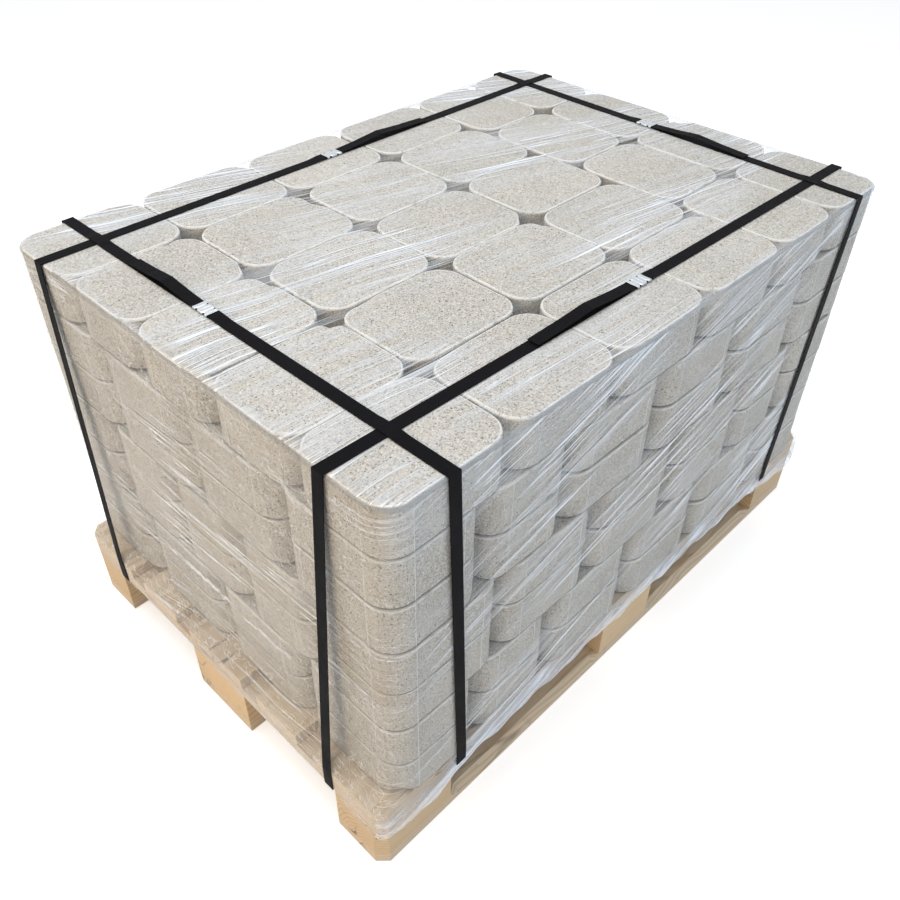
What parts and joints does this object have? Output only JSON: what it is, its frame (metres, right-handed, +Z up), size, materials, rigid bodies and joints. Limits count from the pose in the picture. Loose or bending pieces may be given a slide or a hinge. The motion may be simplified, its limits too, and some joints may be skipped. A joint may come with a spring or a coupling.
{
  "type": "pallet of salt bricks",
  "caption": "Flat timber pallet carrying an interlocked stack of round-cornered pressed salt bricks, held by plastic straps with crimped steel seals and clear stretch film.",
  "frame": {"origin": "on the floor under the middle of the pallet", "axes": "+X along the pallet's length, +Y across its width, +Z up"},
  "size_m": [1.2042, 0.8182, 0.7311],
  "materials": {
    "salt_brick": "dry pressed, fine dark specks",
    "board_timber": "sawn softwood",
    "block_timber": "sawn softwood blocks",
    "strap_plastic": "embossed black strapping",
    "seal_steel": "galvanised, crimped",
    "film": "clear stretch film"
  },
  "bodies": {
    "root": {"block_left_back": "block_timber", "block_left_centre": "block_timber", "block_left_front": "block_timber", "block_middle_back": "block_timber", "block_middle_centre": "block_timber", "block_middle_front": "block_timber", "block_right_back": "block_timber", "block_right_centre": "block_timber", "block_right_front": "block_timber", "brick_layer_1": "salt_brick", "brick_layer_2": "salt_brick", "brick_layer_3": "salt_brick", "brick_layer_4": "salt_brick", "brick_layer_5": "salt_brick", "brick_layer_6": "salt_brick", "brick_layer_7": "salt_brick", "cross_board_1": "board_timber", "cross_board_2": "board_timber", "cross_board_3": "board_timber", "deck_board_1": "board_timber", "deck_board_2": "board_timber", "deck_board_3": "board_timber", "deck_board_4": "board_timber", "deck_board_5": "board_timber", "runner_back": "board_timber", "runner_centre": "board_timber", "runner_front": "board_timber", "seal_1": "seal_steel", "seal_2": "seal_steel", "seal_3": "seal_steel", "seal_4": "seal_steel", "strap_1": "strap_plastic", "strap_2": "strap_plastic", "strap_3": "strap_plastic", "strap_4": "strap_plastic", "stretch_film": "film"}
  },
  "joints": []
}
